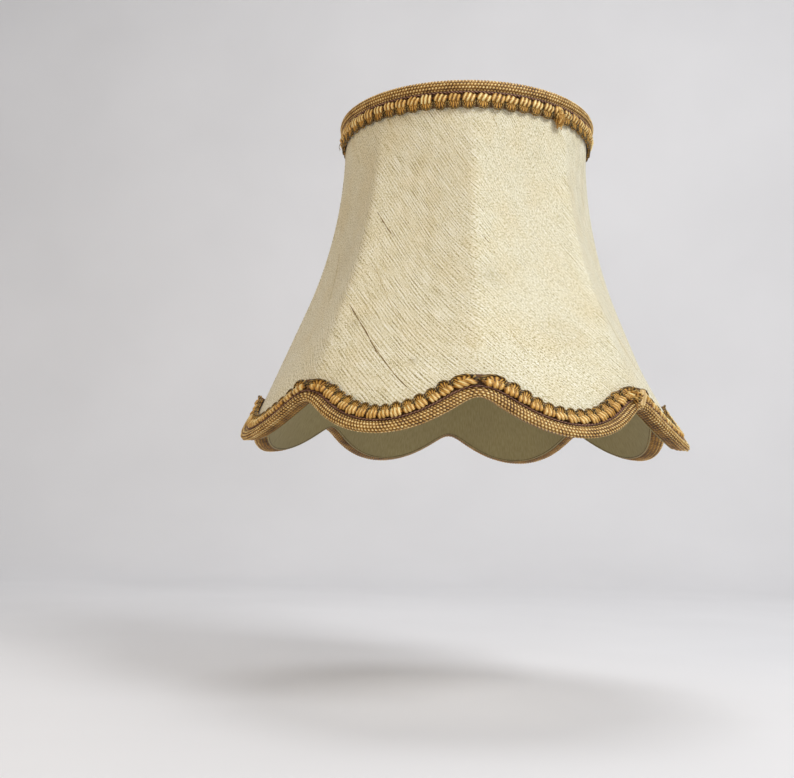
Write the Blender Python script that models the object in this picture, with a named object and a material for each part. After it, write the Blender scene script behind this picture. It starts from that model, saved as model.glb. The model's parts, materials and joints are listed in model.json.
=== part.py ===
"""Scalloped bell lamp shade: a wire frame with eight ribs, a silk cover in two halves, a
lining, gimp braid round both edges, and a fitter ring that tilts between two arms.

Metres, +Z up. The axis of the shade is Z, its scallops stand on z = 0, and rib 1, the
front one, is at -Y. The arms and the axis of the fitter lie in the plane x = 0.
"""

import math

import bmesh
import bpy
import numpy as np

MM = 0.001

# Form of the shade, taken on the centre lines of its wires.
HEIGHT = 223.8 * MM  # scallops to the top of the braid
TOP_RADIUS = 79.8 * MM  # where the bell runs out into its upright neck
CUSP_RADIUS = 132.0 * MM  # lower end of the ribs
FLARE = math.radians(22.8)  # of the ribs' straight lower part, from upright
BELL_BEND = 300.0 * MM  # radius of the ribs' curve above it
RIBS = 8
CUSP_RISE = 21.15 * MM  # the hem at a rib above the hem between ribs
CUSP_SOFTNESS = 0.12  # rounding of the cusps, as a share of half a panel
FLAT_FROM_HEM = 55.0 * MM  # above the hem, the height in which panels turn flat
FLAT_FROM_TOP = 40.0 * MM  # and below the top ring

# Thicknesses and the clearance between pieces that touch.
GAP = 0.3 * MM
WIRE = 2.5 * MM
BINDING = 0.6 * MM
COVER = 0.75 * MM
LINING = 0.5 * MM
BRAID = 4.0 * MM
BRAID_FOOT = 1.2 * MM  # where the braid turns over a rim
BRAID_WIDTH = 18.5 * MM
BRAID_PINCH = 0.17  # share of its width that it loses at a cusp
JOIN_LENGTH = 9.0 * MM
JOIN = 0.9 * MM
TOP_JOIN_ANGLE = math.radians(-50.4)
BOTTOM_JOIN_ANGLE = math.radians(-45.0)

# Fitter and what holds it.
FITTER_DROP = 103.8 * MM  # top of the shade to the fitter's seat
FITTER_BORE = 29.0 * MM
FITTER_RIM = 41.0 * MM
FITTER_SHEET = 1.5 * MM
EAR_WIDTH = 9.0 * MM
PIVOT_RISE = 8.0 * MM  # rivets above the fitter's seat
ARM_WIRE = 3.0 * MM
ARM_SHOULDER = 7.0 * MM  # upright run of an arm beside the top ring
ARM_ANKLE = 12.0 * MM  # and above its rivet
ARM_BEND = 6.0 * MM  # length of wire taken by a bend, each side of its corner
RIVET = 3.0 * MM
RIVET_HEAD = 1.2 * MM
RIVET_HEAD_RADIUS = 3.8 * MM
WASHER = 0.8 * MM
WASHER_RADIUS = 4.2 * MM
SLIT = 10.0 * MM  # depth of the lining's slit for an arm
TAB_LENGTH = 14.0 * MM
TAB_WIDTH = 12.0 * MM

PANEL_STEPS = 8
RING_STEPS = 48
FRONT = -math.pi / 2
HALF_PANEL = math.pi / RIBS
AT_RIB = 1.5 * GAP / TOP_RADIUS  # angle within which a column counts as on its rib

# Distances outside the wires' centre lines, negative inside them.
SKIN = WIRE / 2 + GAP + BINDING + GAP
COVER_FACE = SKIN + COVER
BRAID_BACK = COVER_FACE + GAP
BRAID_FACE = BRAID_BACK + BRAID
LINING_FACE = -SKIN - LINING

# Heights.
HEM = BRAID_FOOT + GAP  # cover and lining end this far above the braid's edge
WIRE_ABOVE_HEM = HEM + SKIN
SKIN_TOP = HEIGHT - HEM
RING_Z = HEIGHT - WIRE_ABOVE_HEM
SEAT_Z = HEIGHT - FITTER_DROP
PIVOT_Z = SEAT_Z + PIVOT_RISE

# Places along the fitter's axis, from the middle outward.
EAR_FACE = FITTER_RIM / 2
WASHER_BACK = EAR_FACE + GAP
EYE_Y = WASHER_BACK + WASHER + GAP + ARM_WIRE / 2
EYE_RADIUS = RIVET / 2 + GAP + ARM_WIRE / 2


def clear_scene():
    for thing in list(bpy.data.objects):
        bpy.data.objects.remove(thing, do_unlink=True)


def finish(name, colour, roughness, metallic):
    """A plain Principled finish."""
    material = bpy.data.materials.new(name)
    material.use_nodes = True
    shader = material.node_tree.nodes["Principled BSDF"]
    shader.inputs["Base Color"].default_value = (*colour, 1.0)
    shader.inputs["Roughness"].default_value = roughness
    shader.inputs["Metallic"].default_value = metallic
    material.diffuse_color = (*colour, 1.0)
    return material


# ---------------------------------------------------------------- shape of the frame


def rib_radius(z):
    """Radius of a rib at height z: straight flare, then an arc, then the upright neck."""
    arc_start = TOP_RADIUS + BELL_BEND * (1 - math.cos(FLARE))
    cusp_z = CUSP_RISE + WIRE_ABOVE_HEM
    bend_low = cusp_z + (CUSP_RADIUS - arc_start) / math.tan(FLARE)
    bend_high = bend_low + BELL_BEND * math.sin(FLARE)
    flare = CUSP_RADIUS - (z - cusp_z) * math.tan(FLARE)
    below = np.clip(bend_high - z, 0, BELL_BEND)
    arc = TOP_RADIUS + BELL_BEND - np.sqrt(BELL_BEND**2 - below**2)
    return np.where(z < bend_low, flare, arc)


def panel_angle(angle):
    """Angle from the middle of the panel, so that a rib is at plus or minus half a panel."""
    return np.mod(angle - FRONT, 2 * HALF_PANEL) - HALF_PANEL


def flatness(z):
    """One where panels run straight from rib to rib, zero where the frame is round."""
    from_hem = 1 - np.exp(-((np.maximum(z, 0) / FLAT_FROM_HEM) ** 2))
    from_top = 1 - np.exp(-(((RING_Z - z) / FLAT_FROM_TOP) ** 2))
    return from_hem * from_top


def frame_radius(angle, z):
    chord = math.cos(HALF_PANEL) / np.cos(panel_angle(angle))
    return rib_radius(z) * (1 - flatness(z) * (1 - chord))


def wall(angle, z, depth):
    """Points at height z, `depth` outside the frame's surface and mitred at the ribs."""
    angle, z, depth = np.broadcast_arrays(angle, z, depth)
    radius = frame_radius(angle, z)
    step = 0.01 * MM
    fall = (frame_radius(angle, z + step) - frame_radius(angle, z - step)) / (2 * step)
    local = panel_angle(angle)
    chord_turn = math.cos(HALF_PANEL) * np.sin(local) / np.cos(local) ** 2
    turn = rib_radius(z) * flatness(z) * chord_turn / radius
    stretch = depth * np.sqrt(1 + turn**2 + fall**2)
    on_rib = np.isclose(np.abs(local), HALF_PANEL, atol=AT_RIB)
    outward = np.where(on_rib, stretch, stretch / (1 + turn**2))
    sideways = np.where(on_rib, 0, -turn * outward)
    cos, sin = np.cos(angle), np.sin(angle)
    x = (radius + outward) * cos - sideways * sin
    y = (radius + outward) * sin + sideways * cos
    return np.stack([x, y, z], axis=-1)


def hem_rise(angle):
    """Height of the braid's lower edge: a parabola in each panel, with rounded cusps."""

    def rounded(away):
        return np.sqrt(away**2 + CUSP_SOFTNESS**2) - CUSP_SOFTNESS

    away = 1 - np.abs(panel_angle(angle)) / HALF_PANEL
    return CUSP_RISE * (1 - rounded(away) / rounded(1.0)) ** 2


def bottom_braid_top(angle):
    """Upper edge of the bottom braid: the outline of discs as wide as the braid is, set
    all along its lower edge."""
    centres = np.linspace(-math.pi, math.pi, 4 * PANEL_STEPS * RIBS, endpoint=False) + FRONT
    away = 1 - np.abs(panel_angle(centres)) / HALF_PANEL
    pinch = BRAID_PINCH * np.exp(-((away / CUSP_SOFTNESS) ** 2))
    reach = BRAID_WIDTH * math.cos(FLARE) * (1 - pinch)
    turn = np.mod(np.asarray(angle)[..., None] - centres + math.pi, 2 * math.pi) - math.pi
    rise = np.sqrt(np.maximum(reach**2 - (turn * CUSP_RADIUS) ** 2, 0))
    return (hem_rise(centres) + rise).max(axis=-1)


def columns(first, last):
    """Angles from rib `first` to rib `last`, closest together near the ribs."""
    steps = np.sin(np.linspace(-1, 1, PANEL_STEPS + 1)[:-1] * math.pi / 2) + 1
    ribs = np.arange(first, last)[:, None] * 2 * HALF_PANEL + FRONT
    return np.append((ribs + steps * HALF_PANEL).ravel(), FRONT + last * 2 * HALF_PANEL)


# ---------------------------------------------------------------- making solids


def place(name, mesh_or_curve, material):
    piece = bpy.data.objects.new(name, mesh_or_curve)
    bpy.context.collection.objects.link(piece)
    mesh_or_curve.materials.append(material)
    return piece


def solid(name, points, faces, material, smooth_below=40.0):
    """A closed mesh with its faces pointing outward."""
    mesh = bpy.data.meshes.new(name)
    mesh.from_pydata(np.asarray(points).reshape(-1, 3).tolist(), [], faces)
    shaped = bmesh.new()
    shaped.from_mesh(mesh)
    bmesh.ops.recalc_face_normals(shaped, faces=shaped.faces)
    shaped.to_mesh(mesh)
    shaped.free()
    mesh.shade_smooth()
    mesh.set_sharp_from_angle(angle=math.radians(smooth_below))
    return place(name, mesh, material)


def swept(name, sections, closed, material):
    """A solid through a row of sections, each a ring of points that comes back beside
    itself, so that the two ends of an open one are closed with a ladder of faces."""
    count, corners = sections.shape[:2]
    faces = []
    for i in range(count if closed else count - 1):
        here, there = i * corners, (i + 1) % count * corners
        for j in range(corners):
            k = (j + 1) % corners
            faces.append((here + j, here + k, there + k, there + j))
    if not closed:
        for end in (0, (count - 1) * corners):
            for j in range(corners // 2 - 1):
                across = (corners - 2 - j, corners - 1 - j)
                faces.append((end + j, end + j + 1, end + across[0], end + across[1]))
    return solid(name, sections, faces, material)


def skin(name, angles, heights, inner, outer, closed, material):
    """A sheet between two depths, with a row of heights for each angle."""
    front = wall(angles[:, None], heights, outer)
    back = wall(angles[:, None], heights[:, ::-1], inner)
    return swept(name, np.concatenate([front, back], axis=1), closed, material)


def section(angles, corners):
    """Sections from a list of corners, each a height and a depth."""
    return np.stack([wall(angles, z + 0 * angles, depth) for z, depth in corners], axis=1)


def wire(name, points, thickness, closed, sides_step, material):
    """A round wire along its points."""
    curve = bpy.data.curves.new(name, "CURVE")
    curve.dimensions = "3D"
    curve.bevel_depth = thickness / 2
    curve.bevel_resolution = sides_step
    curve.use_fill_caps = not closed
    line = curve.splines.new("POLY")
    line.points.add(len(points) - 1)
    homogeneous = np.concatenate([points, np.ones((len(points), 1))], axis=1)
    line.points.foreach_set("co", homogeneous.ravel())
    line.use_cyclic_u = closed
    return place(name, curve, material)


def turned(name, profile, axis_y, material, steps=24):
    """A closed profile of (radius, place along the axis) turned about the fitter's axis.
    A radius of zero makes a pole. `axis_y` is +1 or -1, the way the profile points."""
    turns = np.linspace(0, 2 * math.pi, steps, endpoint=False)
    rings = [[(0.0, y)] if radius == 0 else [(radius, y)] * steps for radius, y in profile]
    points, starts = [], []
    for ring in rings:
        starts.append(len(points))
        for (radius, y), turn in zip(ring, turns):
            x, z = radius * math.cos(turn), radius * math.sin(turn)
            points.append((x, axis_y * y, PIVOT_Z + z))
    faces = []
    pairs = list(zip(rings, starts))
    solid_through = profile[0][0] == 0
    following = pairs[1:] if solid_through else pairs[1:] + pairs[:1]
    for (ring, start), (next_ring, next_start) in zip(pairs, following):
        for i in range(steps):
            k = (i + 1) % steps
            here = [start] if len(ring) == 1 else [start + i, start + k]
            there = [next_start] if len(next_ring) == 1 else [next_start + k, next_start + i]
            faces.append(here + there)
    return solid(name, points, faces, material)


# ---------------------------------------------------------------- frame


def build_frame(coated):
    around = columns(0, RIBS)[:-1]
    even = np.linspace(0, 2 * math.pi, RING_STEPS, endpoint=False)
    wire("top_ring", wall(even, RING_Z, 0), WIRE, True, 1, coated)
    hem_wire = wall(around, hem_rise(around) + WIRE_ABOVE_HEM, 0)
    wire("scalloped_bottom_wire", hem_wire, WIRE, True, 1, coated)

    end_gap = WIRE / 2 + GAP
    low = CUSP_RISE + WIRE_ABOVE_HEM + end_gap
    heights = np.linspace(low, RING_Z - end_gap, 13)
    for rib in range(RIBS):
        angle = FRONT + rib * 2 * HALF_PANEL
        wire(f"rib_{rib + 1}", wall(angle, heights, 0), WIRE, False, 1, coated)


def binding(name, wire_heights, angles, opens, material):
    """Tape folded round a wire, open on the side where the ribs meet it."""
    near, far = WIRE / 2 + GAP, WIRE / 2 + GAP + BINDING
    lip = opens * 0.4 * WIRE
    corners = [
        (wire_heights + lip, near),
        (wire_heights - opens * near, near),
        (wire_heights - opens * near, -near),
        (wire_heights + lip, -near),
        (wire_heights + lip, -far),
        (wire_heights - opens * far, -far),
        (wire_heights - opens * far, far),
        (wire_heights + lip, far),
    ]
    swept(name, section(angles, corners), True, material)


# ---------------------------------------------------------------- cloth and braid


def row_heights(low, high):
    """Heights of a skin's rows: three under each braid, evenly spaced between them."""
    low, high = np.broadcast_arrays(low, high)
    under_braid = np.array([0, 0.5, 1]) * BRAID_WIDTH
    lower = low[:, None] + under_braid
    upper = high[:, None] - under_braid[::-1]
    share = np.linspace(0, 1, 9)[1:-1]
    middle = lower[:, -1:] + (upper[:, :1] - lower[:, -1:]) * share
    return np.concatenate([lower, middle, upper], axis=1)


def half_turn(first):
    """Columns of one half, kept clear of the other at its two side ribs."""
    angles = columns(first, first + RIBS // 2)
    angles[0] += GAP / 2 / TOP_RADIUS
    angles[-1] -= GAP / 2 / TOP_RADIUS
    return angles


def build_cover(silk):
    for name, first in (("cover_front", -2), ("cover_back", 2)):
        angles = half_turn(first)
        heights = row_heights(hem_rise(angles) + HEM, SKIN_TOP)
        skin(name, angles, heights, SKIN, COVER_FACE, False, silk)


def build_lining(cloth, tape):
    """Two halves, each with a slit in its top edge where an arm comes through, and a tab
    that covers the foot of the slit."""
    slit_half = (ARM_WIRE / 2 + GAP) / TOP_RADIUS
    slit_edge = slit_half + GAP / TOP_RADIUS
    slit_foot = SKIN_TOP - SLIT
    for side, first in (("front", -2), ("back", 2)):
        middle = FRONT + (first + 2) * 2 * HALF_PANEL
        notch = middle + np.array([-slit_edge, -slit_half, slit_half, slit_edge])
        angles = np.sort(np.append(half_turn(first), notch))
        high = np.where(np.abs(angles - middle) < 1.01 * slit_half, slit_foot, SKIN_TOP)
        heights = row_heights(hem_rise(angles) + HEM, high)
        skin(f"lining_{side}", angles, heights, LINING_FACE, -SKIN, False, cloth)

        half_tab = TAB_WIDTH / 2 / TOP_RADIUS
        tab_angles = middle + np.linspace(-half_tab, half_tab, 5)
        tab_low = slit_foot - GAP - TAB_LENGTH
        tab_rows = np.linspace(tab_low, slit_foot - GAP, 4) + 0 * tab_angles[:, None]
        tab_back = LINING_FACE - GAP
        skin(f"slit_tab_{side}", tab_angles, tab_rows, tab_back - LINING, tab_back, False, tape)


def braid_section(angles, edge, rim, foot):
    """An L: a wall outside the cover from `edge` to `rim`, and a foot turned over the rim
    as far as the lining. `foot` is the height of the foot's inner face."""
    middle = (edge + rim) / 2
    corners = [
        (edge, BRAID_FACE),
        (middle, BRAID_FACE),
        (rim, BRAID_FACE),
        (rim, LINING_FACE),
        (foot, LINING_FACE),
        (foot, BRAID_BACK),
        (middle, BRAID_BACK),
        (edge, BRAID_BACK),
    ]
    return section(angles, corners)


def build_braid(gimp):
    around = columns(0, RIBS)[:-1]
    low = hem_rise(around)
    high = bottom_braid_top(around)
    bottom = braid_section(around, high, low, low + BRAID_FOOT)
    swept("bottom_braid", bottom, True, gimp)

    top_edge = HEIGHT - BRAID_WIDTH
    top = braid_section(around, top_edge, HEIGHT, HEIGHT - BRAID_FOOT)
    swept("top_braid", top, True, gimp)

    back = BRAID_FACE + GAP
    for name, angle, radius in (
        ("top_braid_join", TOP_JOIN_ANGLE, TOP_RADIUS),
        ("bottom_braid_join", BOTTOM_JOIN_ANGLE, CUSP_RADIUS),
    ):
        half = JOIN_LENGTH / 2 / radius
        angles = angle + np.linspace(-half, half, 5)
        if name == "top_braid_join":
            lower, upper = top_edge + 0 * angles, HEIGHT + 0 * angles
        else:
            lower, upper = hem_rise(angles), bottom_braid_top(angles)
        rows = lower[:, None] + (upper - lower)[:, None] * np.linspace(0.06, 0.94, 4)
        skin(name, angles, rows, back, back + JOIN, False, gimp)


# ---------------------------------------------------------------- fitter


def fitter_blank(steel):
    """Flat washer-like ring, its seat at SEAT_Z."""
    turns = np.linspace(0, 2 * math.pi, RING_STEPS, endpoint=False)
    corners = [
        (FITTER_BORE / 2, SEAT_Z),
        (FITTER_RIM / 2, SEAT_Z),
        (FITTER_RIM / 2, SEAT_Z + FITTER_SHEET),
        (FITTER_BORE / 2, SEAT_Z + FITTER_SHEET),
    ]
    rows = [
        np.stack([radius * np.cos(turns), radius * np.sin(turns), z + 0 * turns], axis=1)
        for radius, z in corners
    ]
    return swept("fitter_ring", np.stack(rows, axis=1), True, steel)


def ear(side, steel):
    """Upright plate with a round top, as thick as the ring's sheet, about the rivet."""
    half = EAR_WIDTH / 2
    turns = np.linspace(0, math.pi, 13)
    outline = [(half * math.cos(t), PIVOT_Z + half * math.sin(t)) for t in turns]
    outline += [(-half, SEAT_Z + FITTER_SHEET / 2), (half, SEAT_Z + FITTER_SHEET / 2)]
    outer, inner = side * EAR_FACE, side * (EAR_FACE - FITTER_SHEET)
    count = len(outline)
    points = [(x, y, z) for y in (outer, inner) for x, z in outline]
    faces = [tuple(range(count)), tuple(range(2 * count - 1, count - 1, -1))]
    for i in range(count):
        k = (i + 1) % count
        faces.append((i, k, count + k, count + i))
    return solid("ear_blank", points, faces, steel)


def combine(target, operation, other):
    """Joins or cuts `target` with a helper that isn't part of the model."""
    boolean = target.modifiers.new(operation.title(), "BOOLEAN")
    boolean.operation = operation
    boolean.solver = "EXACT"
    boolean.object = other
    other.hide_render = True
    other.display_type = "WIRE"


def build_fitter(steel):
    ring = fitter_blank(steel)
    for side in (-1, 1):
        combine(ring, "UNION", ear(side, steel))
    hole_radius = RIVET / 2 + GAP
    reach = FITTER_RIM
    bore_profile = [(0, -reach), (hole_radius, -reach), (hole_radius, reach), (0, reach)]
    bore = turned("ear_bore", bore_profile, 1, steel)
    combine(ring, "DIFFERENCE", bore)

    tilt = bpy.data.objects.new("fitter_tilt_axis", None)
    tilt.location = (0, 0, PIVOT_Z)
    bpy.context.collection.objects.link(tilt)
    ring.parent = tilt
    ring.matrix_parent_inverse.translation = (0, 0, -PIVOT_Z)


def rounded_corner(before, corner, after):
    """Points round one bend, a parabola that leaves both straight runs without a kink."""
    towards = corner + (before - corner) / np.linalg.norm(before - corner) * ARM_BEND
    away = corner + (after - corner) / np.linalg.norm(after - corner) * ARM_BEND
    t = np.linspace(0, 1, 7)[:, None]
    return (1 - t) ** 2 * towards + 2 * t * (1 - t) * corner + t**2 * away


def arm_path():
    """Route of the back arm: down inside the top ring, inward, and round the rivet."""
    beside_ring = RING_Z + np.linspace(-SKIN, SKIN, 5)
    clear_of_ring = wall(-FRONT, beside_ring, -SKIN)[:, 1].min() - ARM_WIRE / 2
    start = np.array([0, clear_of_ring, SKIN_TOP - GAP])
    shoulder = start - (0, 0, ARM_SHOULDER)
    ankle = np.array([EYE_RADIUS, EYE_Y, PIVOT_Z + ARM_ANKLE])
    eye = ankle - (0, 0, ARM_ANKLE)
    turns = np.radians(np.linspace(0, 265, 20))
    rise = -EYE_RADIUS * np.sin(turns)
    loop = np.stack([EYE_RADIUS * np.cos(turns), EYE_Y + 0 * turns, PIVOT_Z + rise], axis=1)
    bends = [rounded_corner(start, shoulder, ankle), rounded_corner(shoulder, ankle, eye)]
    return np.concatenate([[start], *bends, loop])


def build_arms(coated, steel):
    rivet = [
        (0, EAR_FACE - FITTER_SHEET - GAP - RIVET_HEAD),
        (RIVET_HEAD_RADIUS * 0.7, EAR_FACE - FITTER_SHEET - GAP - RIVET_HEAD),
        (RIVET_HEAD_RADIUS, EAR_FACE - FITTER_SHEET - GAP),
        (RIVET / 2, EAR_FACE - FITTER_SHEET - GAP),
        (RIVET / 2, EYE_Y + ARM_WIRE / 2 + GAP),
        (RIVET_HEAD_RADIUS, EYE_Y + ARM_WIRE / 2 + GAP),
        (RIVET_HEAD_RADIUS * 0.7, EYE_Y + ARM_WIRE / 2 + GAP + RIVET_HEAD),
        (0, EYE_Y + ARM_WIRE / 2 + GAP + RIVET_HEAD),
    ]
    washer = [
        (RIVET / 2 + GAP, WASHER_BACK),
        (WASHER_RADIUS, WASHER_BACK),
        (WASHER_RADIUS, WASHER_BACK + WASHER),
        (RIVET / 2 + GAP, WASHER_BACK + WASHER),
    ]
    for name, side in (("front", -1), ("back", 1)):
        wire(f"arm_{name}", arm_path() * (side, side, 1), ARM_WIRE, False, 2, coated)
        turned(f"rivet_{name}", rivet, side, steel)
        turned(f"friction_washer_{name}", washer, side, steel)


def build():
    clear_scene()
    coated = finish("coated_wire", (0.86, 0.85, 0.82), 0.4, 0.0)
    steel = finish("plated_steel", (0.78, 0.76, 0.72), 0.3, 1.0)
    silk = finish("slub_silk", (0.79, 0.72, 0.53), 0.6, 0.0)
    cloth = finish("lining_cloth", (0.85, 0.83, 0.74), 0.75, 0.0)
    tape = finish("cotton_tape", (0.8, 0.76, 0.66), 0.85, 0.0)
    gimp = finish("gimp_braid", (0.42, 0.28, 0.12), 0.55, 0.0)
    build_frame(coated)
    around = columns(0, RIBS)[:-1]
    binding("top_binding", RING_Z + 0 * around, around, -1, tape)
    binding("bottom_binding", hem_rise(around) + WIRE_ABOVE_HEM, around, 1, tape)
    build_cover(silk)
    build_lining(cloth, tape)
    build_braid(gimp)
    build_fitter(steel)
    build_arms(coated, steel)


build()
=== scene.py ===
"""Scalloped bell lamp shade in cream slub silk with gold gimp braid, built round its frame.

Every shape is a surface worked out from the shade's own form: a distance round it, a height
and a depth outside the wires' centre lines. Metres throughout; cloth patterns are laid out
in millimetres on the cloth's own UV map.
"""

import json
import math

import bpy
import numpy as np
from mathutils import Matrix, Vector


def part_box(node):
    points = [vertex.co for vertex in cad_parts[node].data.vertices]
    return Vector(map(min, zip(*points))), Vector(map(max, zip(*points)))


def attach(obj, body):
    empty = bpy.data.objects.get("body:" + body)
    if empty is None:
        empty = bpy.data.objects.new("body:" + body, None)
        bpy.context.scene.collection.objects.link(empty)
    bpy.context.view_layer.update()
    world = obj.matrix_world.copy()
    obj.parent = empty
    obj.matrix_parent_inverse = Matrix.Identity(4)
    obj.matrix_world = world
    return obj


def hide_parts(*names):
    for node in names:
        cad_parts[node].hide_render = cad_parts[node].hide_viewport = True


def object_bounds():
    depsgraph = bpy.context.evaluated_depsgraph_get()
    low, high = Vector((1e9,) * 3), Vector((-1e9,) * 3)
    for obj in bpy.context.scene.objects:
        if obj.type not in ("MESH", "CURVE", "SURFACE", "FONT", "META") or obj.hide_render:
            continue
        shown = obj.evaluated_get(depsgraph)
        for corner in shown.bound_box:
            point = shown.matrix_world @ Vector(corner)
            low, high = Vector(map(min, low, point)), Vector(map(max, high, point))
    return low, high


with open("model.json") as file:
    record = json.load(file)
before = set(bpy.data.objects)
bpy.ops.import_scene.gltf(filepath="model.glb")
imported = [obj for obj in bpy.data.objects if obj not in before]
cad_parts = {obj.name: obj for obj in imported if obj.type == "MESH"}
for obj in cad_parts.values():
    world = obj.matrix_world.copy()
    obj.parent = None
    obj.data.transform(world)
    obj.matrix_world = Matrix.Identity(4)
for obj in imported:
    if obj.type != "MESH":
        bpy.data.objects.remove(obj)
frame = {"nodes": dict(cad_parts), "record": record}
CAD_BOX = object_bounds()
MM = 0.001

# Form of the shade, as its wires give it.
RIBS = 8
HALF_PANEL = math.pi / RIBS
FRONT = -math.pi / 2
WIRE = 2.5 * MM
GAP = 0.3 * MM
SKIN = WIRE / 2 + 0.6 * MM + 2 * GAP  # wire and its binding, to the inside of the cloth
COVER = 0.75 * MM
LINING = 0.5 * MM
BRAID_WIDTH = 18.5 * MM
HEM = 1.5 * MM  # cloth ends this far above the braid's edge
FLARE = math.radians(22.8)
BELL_BEND = 300 * MM
CUSP_SOFTNESS = 0.12
CREASE_SOFTNESS = 0.05
FLAT_FROM_HEM = 55 * MM
FLAT_FROM_TOP = 40 * MM
HEIGHT = float(CAD_BOX[1][2])
TOP_RADIUS = float(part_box("top_ring")[1][0]) - WIRE / 2
RING_Z = HEIGHT - HEM - SKIN
CUSP_RISE = float(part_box("rib_1")[0][2]) - WIRE / 2 - GAP - HEM - SKIN
CUSP_RADIUS = float(-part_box("rib_1")[0][1]) - WIRE / 2
COVER_FACE = SKIN + COVER
LINING_FACE = -SKIN - LINING

rng = np.random.default_rng(8)


# ------------------------------------------------------------------ form of the shade


def rib_radius(z):
    """Radius of a rib at height z: a straight flare, an arc, then the upright neck."""
    arc_start = TOP_RADIUS + BELL_BEND * (1 - math.cos(FLARE))
    cusp_z = CUSP_RISE + HEM + SKIN
    bend_low = cusp_z + (CUSP_RADIUS - arc_start) / math.tan(FLARE)
    bend_high = bend_low + BELL_BEND * math.sin(FLARE)
    flare = CUSP_RADIUS - (z - cusp_z) * math.tan(FLARE)
    below = np.clip(bend_high - z, 0, BELL_BEND)
    arc = TOP_RADIUS + BELL_BEND - np.sqrt(BELL_BEND**2 - below**2)
    return np.where(z < bend_low, flare, arc)


def rounded(away, softness):
    """|away| with its corner at zero rounded, and zero there."""
    return np.sqrt(away**2 + softness**2) - softness


def from_rib(angle):
    """Zero at a rib and one in the middle of a panel."""
    local = np.mod(angle - FRONT, 2 * HALF_PANEL) - HALF_PANEL
    return 1 - np.abs(local) / HALF_PANEL


def flatness(z):
    """One where panels run straight from rib to rib, zero where the shade is round."""
    from_hem = 1 - np.exp(-((np.maximum(z, 0) / FLAT_FROM_HEM) ** 2))
    from_top = 1 - np.exp(-((np.maximum(RING_Z - z, 0) / FLAT_FROM_TOP) ** 2))
    return from_hem * from_top


def surface_radius(angle, z):
    """Radius of the frame's surface: a chord between ribs, its creases softly rounded."""
    away = rounded(from_rib(angle), CREASE_SOFTNESS)
    chord = math.cos(HALF_PANEL) / np.cos(HALF_PANEL * (1 - away))
    return rib_radius(z) * (1 - flatness(z) * (1 - chord))


def wall(angle, z, depth):
    """Points at height z and `depth` outside the frame's surface, along its normal."""
    angle, z, depth = np.broadcast_arrays(angle, z, depth)
    step = 0.02 * MM
    radius = surface_radius(angle, z)
    fall = (surface_radius(angle, z + step) - surface_radius(angle, z - step)) / (2 * step)
    turn_step = 1e-3
    turned = surface_radius(angle + turn_step, z) - surface_radius(angle - turn_step, z)
    turn = turned / (2 * turn_step) / radius
    outward = depth * np.sqrt(1 + turn**2 + fall**2) / (1 + turn**2)
    sideways = -turn * outward
    cos, sin = np.cos(angle), np.sin(angle)
    x = (radius + outward) * cos - sideways * sin
    y = (radius + outward) * sin + sideways * cos
    return np.stack([x, y, z], axis=-1)


def hem_rise(angle):
    """Height of the braid's lower edge: a parabola in each panel, with rounded cusps."""
    share = rounded(from_rib(angle), CUSP_SOFTNESS) / rounded(1.0, CUSP_SOFTNESS)
    return CUSP_RISE * (1 - share) ** 2


# ------------------------------------------------------------------ meshes


def grid_faces(count, corners, long_closed, section_closed):
    """Quads of a grid of `count` sections, each with `corners` points. Indices beyond the
    last section or corner stand for the first, so that a pattern can run on past it."""
    i = np.arange(count if long_closed else count - 1)[:, None]
    j = np.arange(corners if section_closed else corners - 1)[None, :]
    loop_i = np.stack([i + 0 * j, i + 0 * j, i + 1 + 0 * j, i + 1 + 0 * j], axis=-1)
    loop_j = np.stack([j + 0 * i, j + 1 + 0 * i, j + 1 + 0 * i, j + 0 * i], axis=-1)
    return loop_i.reshape(-1, 4), loop_j.reshape(-1, 4)


def capped_tube(along, around):
    """Faces of a tube of `along` rings with `around` corners, closed with strips."""
    loop_i, loop_j = grid_faces(along, around, False, True)
    sides = loop_i * around + loop_j % around
    j = np.arange(around // 2 - 1)
    cap = np.stack([j, j + 1, around - 2 - j, around - 1 - j], axis=1)
    return np.concatenate([sides, cap[:, ::-1], cap + (along - 1) * around])


def make_piece(name, points, faces, material, uv=None, shade=None, closed=True):
    """A smooth mesh. `uv` has a pair for each face corner, and `shade` a value for each
    point, or several named ones."""
    points = np.asarray(points, float).reshape(-1, 3)
    faces = np.asarray(faces)
    if closed:
        a, b, c = (points[faces[:, k]] for k in range(3))
        d = points[faces[:, -1]]
        size = np.einsum("ij,ij->i", a, np.cross(b, c)).sum()
        size += np.einsum("ij,ij->i", a, np.cross(c, d)).sum()
        if size < 0:
            faces = faces[:, ::-1]
            uv = None if uv is None else uv[:, ::-1]
    mesh = bpy.data.meshes.new(name)
    mesh.from_pydata(points.tolist(), [], faces.tolist())
    if uv is not None:
        layer = mesh.uv_layers.new(name="cloth")
        layer.data.foreach_set("uv", np.asarray(uv, np.float32).ravel())
    for key, values in (shade if isinstance(shade, dict) else {"painted_shade_and_tone": shade}).items():
        if values is not None:
            layer = mesh.attributes.new(key, "FLOAT", "POINT")
            layer.data.foreach_set("value", np.asarray(values, np.float32).ravel())
    mesh.shade_smooth()
    mesh.materials.append(material)
    piece = bpy.data.objects.new(name, mesh)
    bpy.context.collection.objects.link(piece)
    return piece


def swept(name, points, material, long_closed=True, uv=None, shade=None):
    """A solid through sections of points, an array (sections, corners, 3). `uv` gives the
    distance along and round for each section and corner, one more of each than points."""
    count, corners = points.shape[:2]
    loop_i, loop_j = grid_faces(count, corners, long_closed, True)
    loops = None if uv is None else np.stack([uv[0][loop_i], uv[1][loop_j]], axis=-1)
    if long_closed:
        faces = (loop_i % count) * corners + loop_j % corners
    else:
        faces = capped_tube(count, corners)
        if loops is not None:
            loops = np.concatenate([loops, np.zeros((len(faces) - len(loops), 4, 2))])
    return make_piece(name, points, faces, material, loops, shade)


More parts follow.
